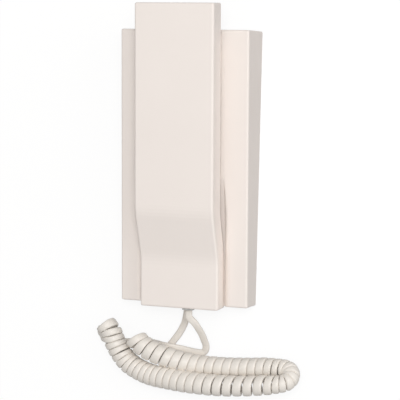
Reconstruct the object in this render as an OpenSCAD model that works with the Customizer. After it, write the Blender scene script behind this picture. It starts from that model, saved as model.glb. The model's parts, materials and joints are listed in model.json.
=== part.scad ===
// Slimline wall phone: a wedge-shaped wall base, a flat handset that lies over it,
// and a flat curly cord between them. It is drawn lying on its back: X to the right,
// Y towards the earpiece end, Z out of the wall. The origin is the centre of the base's back.

/* [Base] */
// Width of the base
base_w = 94; // [86:1:110]
// Height of the base
base_h = 190; // [186:1:215]
// How much deeper the base is at its top end than at its bottom end
base_taper = 10; // [6:0.5:14]
// Wall of the base cover
base_wall = 2; // [1.6:0.1:2.4]
// Thickness of the back plate
back_t = 2; // [1.6:0.1:2.6]
// Radius along the edges of the base
base_edge_r = 1.3; // [0.8:0.1:1.6]
// Gap between the back plate and the inside of the cover
plate_gap = 0.3; // [0.2:0.05:0.5]

/* [Handset] */
// Width of the handset
handset_w = 57.5; // [54:0.5:64]
// Length of the handset
handset_len = 210; // [204:1:222]
// How far the handset's foot hangs below the base
foot_over = 1.6; // [0.8:0.1:4]
// Thickness of the handset's upper part
handset_t = 14.4; // [13.5:0.1:17]
// How far the upper part's front stands above the face of the base
handset_proud = 19.3; // [18.6:0.1:21]
// How far the foot's front stands above the face of the base
foot_proud = 8.95; // [8:0.05:10]
// Length of the flat foot
foot_len = 34.6; // [32:0.1:38]
// Length of the sloping stretch above the foot
slope_len = 32.7; // [28:0.1:38]
// Half the length over which each crease is blended
crease_blend = 5; // [2:0.5:8]
// Wall of the handset's shells
handset_wall = 1.8; // [1.5:0.1:2]
// Radius along the handset's front edges
handset_edge_r = 1.4; // [0.8:0.1:1.6]
// Radius along the handset's back edges
handset_back_r = 0.6; // [0.3:0.1:0.9]
// Gap around the rear shell inside the front shell's rim
shell_gap = 0.25; // [0.15:0.05:0.4]

/* [Cradle] */
// Gap under the foot in the cradle
seat_gap = 0.5; // [0.4:0.1:1]
// Gap on each side of the foot in the cradle
cradle_side = 0.8; // [0.5:0.1:2]
// How much wider the cradle is at its mouth than at its floor, on each side
cradle_flare = 5.2; // [2:0.1:6]
// Diameter of the ear cup
ear_d = 44; // [42:0.5:46]
// Height of the ear cup
ear_h = 8; // [7.5:0.1:9]
// Radius of the ear cup's rim
ear_rim_r = 2.4; // [1.5:0.1:3]
// Distance from the handset's top end to the ear cup's centre
ear_from_top = 37; // [34:0.5:42]
// Gap around the ear cup in its pocket
ear_side = 3; // [2:0.1:4]
// Gap below the ear cup in its pocket
ear_under = 1.1; // [0.8:0.1:1.5]

/* [Hook switch] */
// Distance from the ear cup's centre to the plunger
hook_from_ear = 42; // [39:0.5:46]
// Travel of the plunger
hook_travel = 5; // [4:0.5:5.5]
// Width of the plunger's head
hook_w = 14; // [12:0.5:16]
// Length of the plunger's head along the phone
hook_l = 8; // [7:0.5:9]
// Gap around the plunger's head in its slot
hook_gap = 0.4; // [0.3:0.05:0.6]
// Diameter of the plunger's stem
stem_d = 4.8; // [4.4:0.1:5.2]
// Gap around the stem in its guide
stem_gap = 0.3; // [0.25:0.05:0.4]
// Height of the guide above the back plate
guide_h = 6.6; // [6.2:0.1:7.4]
// Wire of the hook spring
spring_wire = 0.6; // [0.5:0.05:0.7]
// Curls of the hook spring
spring_curls = 5; // [4:1:6]

/* [Electrics] */
// Width of a modular jack
jack_w = 11.2; // [10.8:0.1:12]
// Height of a modular jack
jack_h = 8.6; // [8.4:0.1:9.4]
// Length of a modular jack
jack_l = 15; // [14.2:0.1:17]
// Width of a modular plug
plug_w = 7.65; // [7.4:0.05:7.8]
// Height of a modular plug
plug_h = 6; // [5.6:0.1:6.2]
// Length of a modular plug
plug_l = 12; // [11.4:0.1:12.6]
// How far a seated plug stands out of its jack
plug_out = 1.6; // [1:0.1:2.4]
// Sideways place of the middle between the two jacks
jack_mid = 1.6; // [0:0.1:3]
// Sideways shift of each jack from there, the handset's to the right and the base's to the left
jack_shift = 3.2; // [2:0.1:4]
// Thickness of the circuit boards
pcb_t = 1.6; // [1.2:0.1:2]
// Width of the base board
pcb_w = 64; // [60:1:70]
// Height of the base board
pcb_h = 68; // [66:1:72]
// Height of the base board's posts
pcb_post_h = 4; // [3.6:0.1:4.6]
// Diameter of the receiver capsule
receiver_d = 36; // [34:0.5:37]
// Height of the receiver capsule
receiver_h = 9; // [8:0.1:10]
// Thickness of the receiver's seal
seal_t = 1.2; // [1:0.1:1.6]
// Diameter of the microphone capsule
mic_d = 9.7; // [9:0.1:10]
// Height of the microphone capsule
mic_h = 5.6; // [5:0.1:6]
// Diameter of the sounder
sounder_d = 28; // [26:0.5:29]
// Height of the sounder
sounder_h = 8; // [7:0.1:8.5]

/* [Key] */
// Length of the side key
key_l = 14.2; // [12:0.1:16]
// Height of the side key
key_h = 7.8; // [7:0.1:8.2]
// How far the side key stands out of the handset's side
key_proud = 0.4; // [0.2:0.1:0.8]
// Gap around the side key
key_gap = 0.3; // [0.25:0.05:0.4]
// Travel of the side key
key_travel = 0.8; // [0.5:0.1:1]
// Distance from the side key's centre to the handset's foot end
key_from_foot = 98; // [92:1:104]

/* [Wall fixing] */
// Distance between the two wall screws
wall_screw_pitch = 60; // [50:1:60]
// Width of a wall screw slot
wall_slot_w = 4.2; // [3.6:0.1:5]
// Length of a wall screw slot
wall_slot_l = 7; // [6:0.5:8]
// Distance from the base's bottom end to the wall screws
wall_screw_up = 57; // [55:1:59]
// Width of the cable entry
entry_w = 28; // [20:1:32]
// Height of the cable entry
entry_h = 14; // [10:0.5:15]

/* [Cord] */
// Width of the flat cord in its leads
cord_w = 5; // [4.8:0.1:5]
// Width of the flat cord where its curls are stretched
curl_w = 6.4; // [5.6:0.1:6.6]
// Thickness of the flat cord
cord_t = 2.6; // [2.4:0.1:2.6]
// Gap kept between neighbouring curls
curl_gap = 0.6; // [0.5:0.05:0.8]

/* [Hidden] */

ivory = [0.93, 0.90, 0.87];
cream = [0.94, 0.91, 0.87];
board_green = [0.10, 0.36, 0.20];
dark = [0.12, 0.12, 0.13];
steel = [0.72, 0.73, 0.75];
clear = [0.86, 0.88, 0.88];

big = 400;      // longer than any cut needs
eps = 0.01;     // lets a cut pass through a face
join = 0.5;     // how far a rib or boss reaches into the wall that carries it

// ---- thicknesses and levels ----------------------------------------------------------
foot_play = 1.2;
foot_t = jack_h + 2 * handset_wall + foot_play;
foot_sink = foot_t - foot_proud;
cradle_d = foot_sink + seat_gap;
stand_off = handset_proud - handset_t;
under_tray = 0.4;
base_low_d = back_t + jack_h + under_tray + base_wall + cradle_d;
base_top_d = base_low_d + base_taper;
tilt = atan(base_taper / base_h);
mid_z = (base_top_d + base_low_d) / 2;
function level_z(y, w) = mid_z + y * tan(tilt) + w / cos(tilt);
function face_z(y) = level_z(y, 0);
function to_y(v, w) = v * cos(tilt) - w * sin(tilt);
function to_z(v, w) = mid_z + v * sin(tilt) + w * cos(tilt);

// A frame on the base's face: X across, Y along the face, Z out of it
module on_face() translate([0, 0, mid_z]) rotate([tilt, 0, 0]) children();

// ---- places along the face -------------------------------------------------------------
v_foot = -(base_h / 2 + foot_over) / cos(tilt);
v_top = v_foot + handset_len;
v_low = v_foot + foot_len;
v_high = v_low + slope_len;
v_ear = v_top - ear_from_top;
v_key = v_foot + key_from_foot;
v_sounder = v_ear - hook_from_ear - sounder_d / 2 - 9.7;
half_w = handset_w / 2;
handset_jack_x = jack_mid + jack_shift;
base_jack_x = jack_mid - jack_shift;

// ---- places on the back plate ----------------------------------------------------------
y_hook = to_y(v_ear - hook_from_ear, 0);
y_walls = -base_h / 2 + wall_screw_up;
pcb_z = back_t + pcb_post_h;
pcb_top = pcb_z + pcb_t;
pcb_up = 13;                       // board above the plunger
pcb_y1 = y_hook + pcb_up;
pcb_y0 = pcb_y1 - pcb_h;

// ---- general shapes ---------------------------------------------------------------------
function unit(a) = a / norm(a);

// A closed skin of triangles over rings of equal length, each counter-clockwise seen
// from the end that the rings run towards
module skin(rings) {
    n = len(rings[0]);
    m = len(rings);
    polyhedron(
        points = [for (r = rings) each r],
        faces = [
            for (i = [0:m - 2], j = [0:n - 1]) let (k = (j + 1) % n)
                each [[i * n + j, (i + 1) * n + j, (i + 1) * n + k], [i * n + j, (i + 1) * n + k, i * n + k]],
            for (j = [1:n - 2]) [0, j, j + 1],
            for (j = [1:n - 2]) [(m - 1) * n, (m - 1) * n + j + 1, (m - 1) * n + j]
        ],
        convexity = 8);
}

module box(lo, hi) translate(lo) cube(hi - lo);

// A round bar along Z with its lower end at p
module post(p, r, h) translate(p) cylinder(r = r, h = h, $fn = 48);

module tube(p, r_in, r_out, h)
    translate(p) difference() {
        cylinder(r = r_out, h = h, $fn = 64);
        translate([0, 0, -eps]) cylinder(r = r_in, h = h + 2 * eps, $fn = 64);
    }

// A pan-head screw along -Z, with the underside of its head at the origin
module pan_screw(head_r, head_h, shank_r, length)
    difference() {
        union() {
            rotate_extrude($fn = 40)
                polygon([[0, 0], [head_r, 0], [head_r, head_h * 0.45], [head_r * 0.62, head_h], [0, head_h]]);
            translate([0, 0, -length + shank_r]) cylinder(r = shank_r, h = length - shank_r + eps, $fn = 40);
            translate([0, 0, -length]) cylinder(r1 = 0.2, r2 = shank_r, h = shank_r, $fn = 40);
        }
        for (a = [0, 90]) rotate(a)
            translate([-head_r * 0.5, -0.35, head_h * 0.45]) cube([head_r, 0.7, head_h]);
    }

// ---- base ---------------------------------------------------------------------------------
module wedge(inset) {
    x = base_w / 2 - inset;
    y = base_h / 2 - inset;
    r = max(base_edge_r - inset, 0.4);
    hull()
        for (sx = [-1, 1], sy = [-1, 1]) {
            translate([sx * (x - r), sy * (y - r), face_z(sy * (y - r)) - inset - r / cos(tilt)])
                sphere(r = r, $fn = 24);
            translate([sx * (x - r), sy * (y - r), inset > 0 ? -1 : 0]) cylinder(r = r, h = 0.2, $fn = 24);
        }
}

// Place along the face and depth of the cradle's floor: flat under the foot, then up behind
// the slope, and out to the face below the sounder
v_shallow = v_sounder - sounder_d / 2 - 2.3;
cradle_floor = [
    [v_foot - 4, cradle_d],
    [v_low, cradle_d],
    [v_low + (v_high - v_low) * 0.25, cradle_d * 0.85],
    [v_high, cradle_d * 0.6],
    [(v_high + v_shallow) / 2, cradle_d * 0.37],
    [v_shallow, eps]];

// Strip k of n of the cradle's cross-section where it is d deep: its sides round outward into the face
module cradle_section(v, d, drop, k, n) {
    flare = cradle_flare / cradle_d * d;
    side = half_w + cradle_side + 1.3 * drop;
    low = side + flare * (1 - cos(90 * k / n)) - cradle_flare / cradle_d * drop;
    high = side + flare * (1 - cos(90 * (k + 1) / n));
    low_w = -d * (1 - sin(90 * k / n)) - drop;
    high_w = -d * (1 - sin(90 * (k + 1) / n));
    translate([0, v, 0]) rotate([90, 0, 0]) linear_extrude(eps)
        polygon([[-low, low_w], [low, low_w], [high, high_w], [high, 1], [-high, 1], [-high, high_w]]);
}

module cradle_block(drop, n)
    for (i = [0:len(cradle_floor) - 2], k = [0:n - 1]) hull() for (c = [cradle_floor[i], cradle_floor[i + 1]])
        cradle_section(c[0], c[1], drop, k, n);

pocket_r = ear_d / 2 + ear_side;
pocket_d = ear_h - stand_off + ear_under;
slot_n = 6;
slot_pitch = 3.4;
slot_w = 1.5;
slot_l = 20;
screw_x = 24;
cover_boss_r = 4.2;
cover_sink = 2.4;
cover_boss_l = 4.6;
lug_t = 8;
lug_w = 11;
cover_screw_z = back_t + 4.6;
lug_y = -base_h / 2 + cover_boss_l + 0.3;
rib_t = 1.2;
rib_d = 3;
seat_ribs = [-0.8, -0.25, 0.3, 0.85];
tab_x = 26;
tab_w = 10;
tab_t = 1.6;

module base_cover() color(ivory) difference() {
    union() {
        difference() {
            wedge(0);
            wedge(base_wall);
        }
        intersection() {
            wedge(base_edge_r);
            union() {
                on_face() cradle_block(base_wall, 1);
                on_face() post([0, v_ear, -pocket_d - base_wall], pocket_r + base_wall, pocket_d + base_wall - join);
                on_face() tube([0, v_sounder, -base_wall - sounder_h * 0.7], sounder_d / 2 + 0.3,
                    sounder_d / 2 + 1.8, sounder_h * 0.7 + join);
                translate([screw_x, -base_h / 2 + cover_boss_l, cover_screw_z]) rotate([90, 0, 0])
                    cylinder(r = cover_boss_r, h = cover_boss_l, $fn = 48);
                // ribs that rest on the back plate
                for (s = [-1, 1], y = seat_ribs) box(
                    [min(s * base_w / 2, s * (base_w / 2 - base_wall - rib_d)), y * base_h / 2 - rib_t / 2, back_t],
                    [max(s * base_w / 2, s * (base_w / 2 - base_wall - rib_d)), y * base_h / 2 + rib_t / 2, base_low_d - 4]);
            }
        }
    }
    on_face() cradle_block(0, 4);
    on_face() post([0, v_ear, -pocket_d], pocket_r, pocket_d + 1);
    translate([-hook_w / 2 - hook_gap, y_hook - hook_l / 2 - hook_gap, face_z(y_hook) - base_wall - 2])
        cube([hook_w + 2 * hook_gap, hook_l + 2 * hook_gap, base_wall + 4]);
    on_face() for (i = [0:slot_n - 1])
        translate([-slot_l / 2, v_sounder + (i - (slot_n - 1) / 2) * slot_pitch - slot_w / 2, -base_wall - 1])
            cube([slot_l, slot_w, base_wall + 2]);
    // mouth of the base jack
    translate([base_jack_x - jack_w / 2 - 0.3, -base_h / 2 - 1, -1])
        cube([jack_w + 0.6, base_wall + 2, back_t + jack_h + 0.3 + 1]);
    // sunk hole of the cover screw
    translate([screw_x, -base_h / 2 + cover_sink, cover_screw_z]) rotate([90, 0, 0])
        cylinder(r = 3.2, h = cover_sink + 1, $fn = 48);
    translate([screw_x, -base_h / 2 + cover_boss_l + 1, cover_screw_z]) rotate([90, 0, 0])
        cylinder(r = 1.7, h = cover_boss_l + 2, $fn = 40);
    // slots for the back plate's tabs
    for (s = [-1, 1]) translate([s * tab_x - tab_w / 2 - 0.3, base_h / 2 - base_wall - 1, back_t - tab_t - 0.3 + 2])
        cube([tab_w + 0.6, base_wall - 0.6 + 1, tab_t + 0.6]);
}

plate_x = base_w / 2 - base_wall - plate_gap;
plate_y = base_h / 2 - base_wall - plate_gap;
post_r = 3;
board_post_x = pcb_w / 2 - 4.5;
board_posts = [for (sx = [-1, 1], y = [pcb_y0 + 4.5, pcb_y1 - 4.5]) [sx * board_post_x, y]];
guide_r = stem_d / 2 + stem_gap;
guide_wall = 1.6;

module slot_hole(p, w, l, h) translate(p) {
    for (s = [-1, 1]) translate([s * (l - w) / 2, 0, 0]) cylinder(r = w / 2, h = h, $fn = 48);
    translate([-(l - w) / 2, -w / 2, 0]) cube([l - w, w, h]);
}

module base_back_plate() color(ivory) difference() {
    union() {
        box([-plate_x, -plate_y, 0], [plate_x, plate_y, back_t]);
        for (p = board_posts) post([p[0], p[1], back_t - join], post_r, pcb_post_h + join);
        post([0, y_hook, back_t - join], guide_r + guide_wall, guide_h + join);
        // lug that the cover screw bites into
        box([screw_x - lug_w / 2, lug_y, back_t - join], [screw_x + lug_w / 2, lug_y + lug_t, cover_screw_z + 4]);
        // tongue under the base jack's mouth
        box([base_jack_x - jack_w / 2, -base_h / 2, 0], [base_jack_x + jack_w / 2, -plate_y + 1, back_t]);
        // tabs that hook into the cover's top end
        for (s = [-1, 1]) {
            box([s * tab_x - tab_w / 2, plate_y - 3, back_t - join], [s * tab_x + tab_w / 2, plate_y - 0.2, back_t + 2]);
            box([s * tab_x - tab_w / 2, plate_y - 3, back_t + 2 - tab_t],
                [s * tab_x + tab_w / 2, plate_y + plate_gap + base_wall - 1, back_t + 2]);
        }
        // ribs that hold the base jack
        for (s = [-1, 1]) translate([base_jack_x + s * (jack_w / 2 + 0.2 + 0.7) - 0.7, -base_h / 2 + base_wall + 1, back_t - join])
            cube([1.4, jack_l - base_wall - 1, 5 + join]);
        box([base_jack_x - jack_w / 2 - 1.6, -base_h / 2 + jack_l + 0.2, back_t - join],
            [base_jack_x + jack_w / 2 + 1.6, -base_h / 2 + jack_l + 1.6, back_t + 5]);
        // ribs that stiffen the plate along its sides
        for (s = [-1, 1]) box([s * (plate_x - 4) - 0.6, -plate_y + 20, back_t - join], [s * (plate_x - 4) + 0.6, plate_y - 8, back_t + 2]);
    }
    for (p = board_posts) post([p[0], p[1], back_t], 1.05, pcb_post_h + 1);
    post([0, y_hook, back_t], guide_r, guide_h + 1);
    translate([screw_x, lug_y + lug_t + 1, cover_screw_z]) rotate([90, 0, 0]) cylinder(r = 1.3, h = lug_t + 2, $fn = 40);
    for (s = [-1, 1]) slot_hole([s * wall_screw_pitch / 2, y_walls, -1], wall_slot_w, wall_slot_l, back_t + 2);
    box([-entry_w / 2, y_walls - entry_h / 2, -1], [entry_w / 2, y_walls + entry_h / 2, back_t + 1]);
}

module cover_screw() color(steel)
    translate([screw_x, -base_h / 2 + cover_sink, cover_screw_z]) rotate([90, 0, 0]) pan_screw(2.8, 1.9, 1.25, 10);

module base_board() color(board_green) difference() {
    box([-pcb_w / 2, pcb_y0, pcb_z], [pcb_w / 2, pcb_y1, pcb_top]);
    for (p = board_posts) post([p[0], p[1], pcb_z - 1], 1.5, pcb_t + 2);
    post([0, y_hook, pcb_z - 1], guide_r + guide_wall + 0.4, pcb_t + 2);
}

module base_board_screws() color(steel)
    for (p = board_posts) translate([p[0], p[1], pcb_top]) pan_screw(2.3, 1.6, 1, pcb_t + 3.6);

term_n = 5;
term_pitch = 5.08;
term_l = 8;
term_h = 9.4;
term_y = pcb_y0 + 3;
function term_x(i) = (i - (term_n - 1) / 2) * term_pitch;

module terminal_block() color(board_green * 1.6) difference() {
    box([-term_n * term_pitch / 2, term_y, pcb_top], [term_n * term_pitch / 2, term_y + term_l, pcb_top + term_h]);
    for (i = [0:term_n - 1]) {
        // wire mouths and screw wells
        box([term_x(i) - 1.6, term_y - 1, pcb_top + 1.2], [term_x(i) + 1.6, term_y + term_l * 0.55, pcb_top + 4.6]);
        post([term_x(i), term_y + term_l / 2, pcb_top + 5.4], 1.9, term_h);
    }
}

module terminal_screws() color(steel)
    for (i = [0:term_n - 1]) translate([term_x(i), term_y + term_l / 2, pcb_top + 5.4]) difference() {
        cylinder(r = 1.75, h = 1.6, $fn = 36);
        translate([-2, -0.3, 0.9]) cube([4, 0.6, 2]);
    }

cap_r = 3.2;
module capacitors() color(dark)
    for (s = [-1, 1]) translate([s * (pcb_w / 2 - 12), y_hook - 2, pcb_top]) rotate_extrude($fn = 48)
        polygon([[0, 0], [cap_r, 0], [cap_r, 1], [cap_r - 0.25, 1.3], [cap_r, 1.6], [cap_r, 8.6], [cap_r - 0.4, 9], [0, 9]]);

module sounder() color(dark) on_face() translate([0, v_sounder, -base_wall - sounder_h]) rotate_extrude($fn = 72)
    polygon([[0, 0], [sounder_d * 0.3, 0], [sounder_d * 0.3, sounder_h * 0.35], [sounder_d / 2 - 0.6, sounder_h * 0.5],
        [sounder_d / 2, sounder_h * 0.6], [sounder_d / 2, sounder_h], [sounder_d / 2 - 1.6, sounder_h],
        [sounder_d / 2 - 3, sounder_h - 1], [0, sounder_h - 1.4]]);

// ---- hook switch --------------------------------------------------------------------------
hook_air = 0.3;
hook_top = level_z(y_hook - hook_l / 2, stand_off) - hook_air;
flange_t = 1.6;
flange_out = 1.5;
flange_top = face_z(y_hook - hook_l / 2 - flange_out) - base_wall / cos(tilt) - hook_travel - 0.2;
guide_top = back_t + guide_h;
arm_w = 5;
pin_r = 1;
pin_down = 0.15;
switch_x = hook_w / 2 + 3;
switch_l = 5.8;
switch_w = 12.8;
switch_h = 5.4;
arm_z = flange_top - flange_t;
pin_top = arm_z - pin_down;
pin_travel = 1;

module hook_plunger() color(ivory) {
    // head with a domed top
    translate([0, y_hook, 0]) difference() {
        translate([-hook_w / 2, -hook_l / 2, flange_top - eps]) cube([hook_w, hook_l, hook_top - flange_top + eps]);
        for (s = [-1, 1]) translate([s * hook_w / 2, 0, hook_top]) rotate([0, 45, 0]) cube([1.6, hook_l + 2, 1.6], center = true);
        for (s = [-1, 1]) translate([0, s * hook_l / 2, hook_top]) rotate([45, 0, 0]) cube([hook_w + 2, 1.6, 1.6], center = true);
    }
    // flange under the cover, and the arm over the switch
    box([-hook_w / 2 - flange_out, y_hook - hook_l / 2 - flange_out, arm_z],
        [hook_w / 2 + flange_out, y_hook + hook_l / 2 + flange_out, flange_top]);
    box([hook_w / 2, y_hook - arm_w / 2, arm_z], [switch_x + switch_l / 2 + pin_r + 1, y_hook + arm_w / 2, flange_top]);
    post([0, y_hook, back_t + 1], stem_d / 2, arm_z - back_t - 1 + join);
}

spring_r = stem_d / 2 + 0.3 + spring_wire;
spring_lo = guide_top + spring_wire / 2 + 0.05;
spring_hi = arm_z - spring_wire / 2 - 0.05;
module hook_spring() color(steel) translate([0, y_hook, 0]) skin([
    for (i = [0:spring_curls * 8]) let (
        a = i * 45,
        z = spring_lo + (spring_hi - spring_lo) * i / (spring_curls * 8))
        [for (j = [0:5]) let (q = -j * 60)
            [(spring_r + spring_wire / 2 * cos(q)) * cos(a), (spring_r + spring_wire / 2 * cos(q)) * sin(a),
                z + spring_wire / 2 * sin(q)]]]);

module hook_switch() color(dark) difference() {
    box([switch_x, y_hook - switch_w / 2, pcb_top], [switch_x + switch_l, y_hook + switch_w / 2, pcb_top + switch_h]);
    post([switch_x + switch_l / 2, y_hook, pcb_top + switch_h - 2.6], pin_r + 0.3, 4);
}

module hook_switch_pin() color(clear)
    post([switch_x + switch_l / 2, y_hook, pcb_top + switch_h - 2], pin_r, pin_top - (pcb_top + switch_h - 2));

// ---- modular jack and plug: the mouth faces -Y at y = 0, centred on X and Z ---------------
module modular_jack() color(dark) difference() {
    box([-jack_w / 2, 0, -jack_h / 2], [jack_w / 2, jack_l, jack_h / 2]);
    box([-plug_w / 2 - 0.15, -1, -plug_h / 2], [plug_w / 2 + 0.15, plug_l - plug_out, plug_h / 2 + 0.15]);
    box([-1.8, -1, plug_h / 2], [1.8, plug_l - plug_out - 2, jack_h / 2 - 0.45]);
}

module modular_plug() color(clear) {
    difference() {
        box([-plug_w / 2, -plug_out, -plug_h / 2], [plug_w / 2, plug_l - plug_out, plug_h / 2]);
        for (i = [0:3]) box([(i - 1.5) * 1.27 - 0.25, plug_l - plug_out - 3.4, -plug_h / 2 - 1],
            [(i - 1.5) * 1.27 + 0.25, plug_l - plug_out + 1, -plug_h / 2 + 1.6]);
    }
    // latch
    box([-1.5, -plug_out, plug_h / 2 - eps], [1.5, plug_l - plug_out - 2.6, plug_h / 2 + 0.7]);
}

base_jack_z = back_t + jack_h / 2;
module at_base_jack() translate([base_jack_x, -base_h / 2, base_jack_z]) children();
module base_jack() at_base_jack() modular_jack();
module base_plug() at_base_jack() modular_plug();

handset_jack_w = -foot_sink + handset_wall + jack_h / 2;
module at_handset_jack() on_face() translate([handset_jack_x, v_foot, handset_jack_w]) children();
module handset_jack() at_handset_jack() modular_jack();
module handset_plug() at_handset_jack() modular_plug();

// ---- handset --------------------------------------------------------------------------------
// A straight ramp from 0 that starts softly at d = 0
function ramp(d) = d < -crease_blend ? 0 : d > crease_blend ? d : pow(d + crease_blend, 2) / (4 * crease_blend);
function slope_share(v) = (ramp(v - v_low) - ramp(v - v_high)) / slope_len;
function front_at(v) = foot_proud + (handset_proud - foot_proud) * slope_share(v);
function back_at(v) = -foot_sink + (stand_off + foot_sink) * slope_share(v);

corner_steps = 4;
// A round corner of the cross-section, from angle a0 through 90 degrees
function corner(cx, cw, r, a0) = [for (k = [0:corner_steps]) [cx + r * cos(a0 + k * 90 / corner_steps), cw + r * sin(a0 + k * 90 / corner_steps)]];
// The handset's cross-section at v, drawn in by the inset e
function handset_ring(v, e) =
    let (x = half_w - e, f = front_at(v) - e, b = back_at(v) + min(e, handset_back_r * 0.8),
        rf = max(handset_edge_r - e, 0.3), rb = max(handset_back_r - e, 0.3),
        loop = concat(corner(x - rb, b + rb, rb, -90), corner(x - rf, f - rf, rf, 0),
            corner(-x + rf, f - rf, rf, 90), corner(-x + rb, b + rb, rb, 180)))
    [for (p = loop) [p[0], v, p[1]]];

crease_stations = [for (v0 = [v_high, v_low], k = [2:-1:-2]) v0 + k * crease_blend / 2];
module handset_body() skin([
    for (a = [0:22.5:90]) handset_ring(v_top - handset_edge_r * (1 - cos(a)), handset_edge_r * (1 - sin(a))),
    for (v = crease_stations) handset_ring(v, 0),
    for (a = [90:-22.5:0]) handset_ring(v_foot + handset_edge_r * (1 - cos(a)), handset_edge_r * (1 - sin(a)))]);

// A slab that follows the handset's bends, its two faces measured from the handset's front or back
function bent_line(v1, v0, from_front, off) = [for (v = concat([v1], crease_stations, [v0]))
    [v, (from_front ? front_at(v) : back_at(v)) + off]];
function turned(list) = [for (i = [len(list) - 1:-1:0]) list[i]];
module bent_slab(x, v0, v1, low_off, from_front, high_off)
    translate([-x, 0, 0]) rotate([90, 0, 90]) linear_extrude(2 * x)
        polygon(concat(bent_line(v1, v0, false, low_off), turned(bent_line(v1, v0, from_front, high_off))));

case_screws = [[0, v_top - 8], [-21, v_foot + 20], [21, v_foot + 20]];
boss_r = 3.4;
screw_sink = 2;
screw_floor = 1.4;
screw_len = 8;
key_w1 = front_at(v_key) - 0.6;
key_w0 = key_w1 - key_h;
key_stem_w = key_w0 + key_h * 0.36;

module handset_front_shell() color(ivory) on_face() difference() {
    union() {
        difference() {
            handset_body();
            bent_slab(half_w - handset_wall, v_foot + handset_wall, v_top - handset_wall, -5, true, -handset_wall);
        }
        for (p = case_screws)
            post([p[0], p[1], back_at(p[1]) + screw_sink + screw_floor], boss_r,
                front_at(p[1]) - handset_wall + join - back_at(p[1]) - screw_sink - screw_floor);
    }
    for (p = case_screws) post([p[0], p[1], back_at(p[1])], 1.5, screw_sink + screw_floor + screw_len - 1);
    // opening of the side key
    box([-half_w - 1, v_key - key_l / 2 - key_gap, key_w0 - key_gap],
        [-half_w + handset_wall + key_travel + 0.3, v_key + key_l / 2 + key_gap, key_w1 + key_gap]);
    // mouth of the handset jack
    box([handset_jack_x - jack_w / 2 - 0.3, v_foot - 1, handset_jack_w - jack_h / 2 - 0.2],
        [handset_jack_x + jack_w / 2 + 0.3, v_foot + handset_wall + 1, handset_jack_w + jack_h / 2 + 0.3]);
}

ear_r = ear_d / 2;
ear_holes = [for (ring = [[0, 1], [5, 6], [10, 12]], i = [0:ring[1] - 1])
    [ring[0] * cos(i * 360 / ring[1]), ring[0] * sin(i * 360 / ring[1])]];
v_mic = v_low - 11;
mic_holes = [[0, 0], [0, 2.6], [0, -2.6]];
grommet_wall = 1.4;
plate_in = handset_wall;
weight_w = 34;
weight_l = 15;
weight_t = 6;
v_weight = v_ear - ear_r - 5 - weight_l / 2;
weight_pins = [-11, 11];
hboard_x0 = -19.5;
hboard_x1 = 14;
hboard_l = 30;
hboard_post_h = 2.8;
hboard_posts = [for (x = [hboard_x0 + 4, hboard_x1 - 4], s = [-1, 1]) [x, v_key + s * (hboard_l / 2 - 4)]];
hboard_w0 = stand_off + handset_wall + hboard_post_h;
hboard_w1 = hboard_w0 + pcb_t;
pin_stand = 1.2;

module handset_rear_shell() color(ivory) on_face() difference() {
    union() {
        bent_slab(half_w - handset_wall - shell_gap, v_foot + handset_wall + shell_gap,
            v_top - handset_wall - shell_gap, 0, false, handset_wall);
        // ear cup
        translate([0, v_ear, stand_off]) rotate_extrude($fn = 96)
            polygon(concat([[0, -ear_h]],
                [for (a = [-90:18:0]) [ear_r - ear_rim_r + ear_rim_r * cos(a), -ear_h + ear_rim_r + ear_rim_r * sin(a)]],
                [[ear_r, handset_wall], [0, handset_wall]]));
        // collar that centres the receiver
        translate([0, v_ear, stand_off]) tube([0, 0, -ear_h + handset_wall - join], receiver_d / 2 + 0.3, ear_r - 1, ear_h + 1);
        tube([0, v_mic, -foot_sink + handset_wall - join], mic_d / 2 + grommet_wall + 0.3, mic_d / 2 + grommet_wall + 1.6, mic_h + join);
        for (p = case_screws) post([p[0], p[1], back_at(p[1])], boss_r + 0.8, screw_sink + screw_floor);
        for (x = weight_pins) post([x, v_weight, stand_off + handset_wall - join], 1.5, weight_t + pin_stand + join);
        for (p = hboard_posts) {
            post([p[0], p[1], stand_off + handset_wall - join], 2.4, hboard_post_h + join);
            post([p[0], p[1], stand_off + handset_wall - join], 1.2, hboard_post_h + pcb_t + pin_stand + join);
        }
        // ribs beside the jack
        for (s = [-1, 1]) box([handset_jack_x + s * (jack_w / 2 + 0.9) - 0.7, v_foot + 4, -foot_sink + handset_wall - join],
            [handset_jack_x + s * (jack_w / 2 + 0.9) + 0.7, v_foot + jack_l, -foot_sink + handset_wall + 4]);
    }
    // hollow of the ear cup
    post([0, v_ear, stand_off - ear_h + handset_wall], receiver_d / 2 + 0.3, ear_h + 4);
    for (h = ear_holes) post([h[0], v_ear + h[1], stand_off - ear_h - 1], 1.1, handset_wall + 2);
    for (h = mic_holes) post([h[0], v_mic + h[1], -foot_sink - 1], 0.8, handset_wall + 2);
    for (p = case_screws) {
        post([p[0], p[1], back_at(p[1]) - 1], 3.2, screw_sink + 1);
        post([p[0], p[1], back_at(p[1]) - 1], 1.7, screw_sink + screw_floor + 2);
    }
}

module handset_screws() color(steel) on_face()
    for (p = case_screws) translate([p[0], p[1], back_at(p[1]) + screw_sink]) rotate([180, 0, 0])
        pan_screw(2.8, 1.8, 1.45, screw_floor + screw_len - 2);

receiver_w = stand_off - ear_h + handset_wall + seal_t;
module receiver() color(dark) on_face() translate([0, v_ear, receiver_w]) rotate_extrude($fn = 96)
    polygon([[0, 0.6], [receiver_d / 2 - 4, 0.6], [receiver_d / 2 - 3.4, 0], [receiver_d / 2, 0], [receiver_d / 2, receiver_h * 0.45],
        [receiver_d / 2 - 2.4, receiver_h * 0.6], [receiver_d * 0.27, receiver_h * 0.62], [receiver_d * 0.27, receiver_h], [0, receiver_h]]);

module receiver_seal() color([0.2, 0.2, 0.2]) on_face()
    tube([0, v_ear, receiver_w - seal_t], receiver_d / 2 - 3, receiver_d / 2, seal_t);

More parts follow.
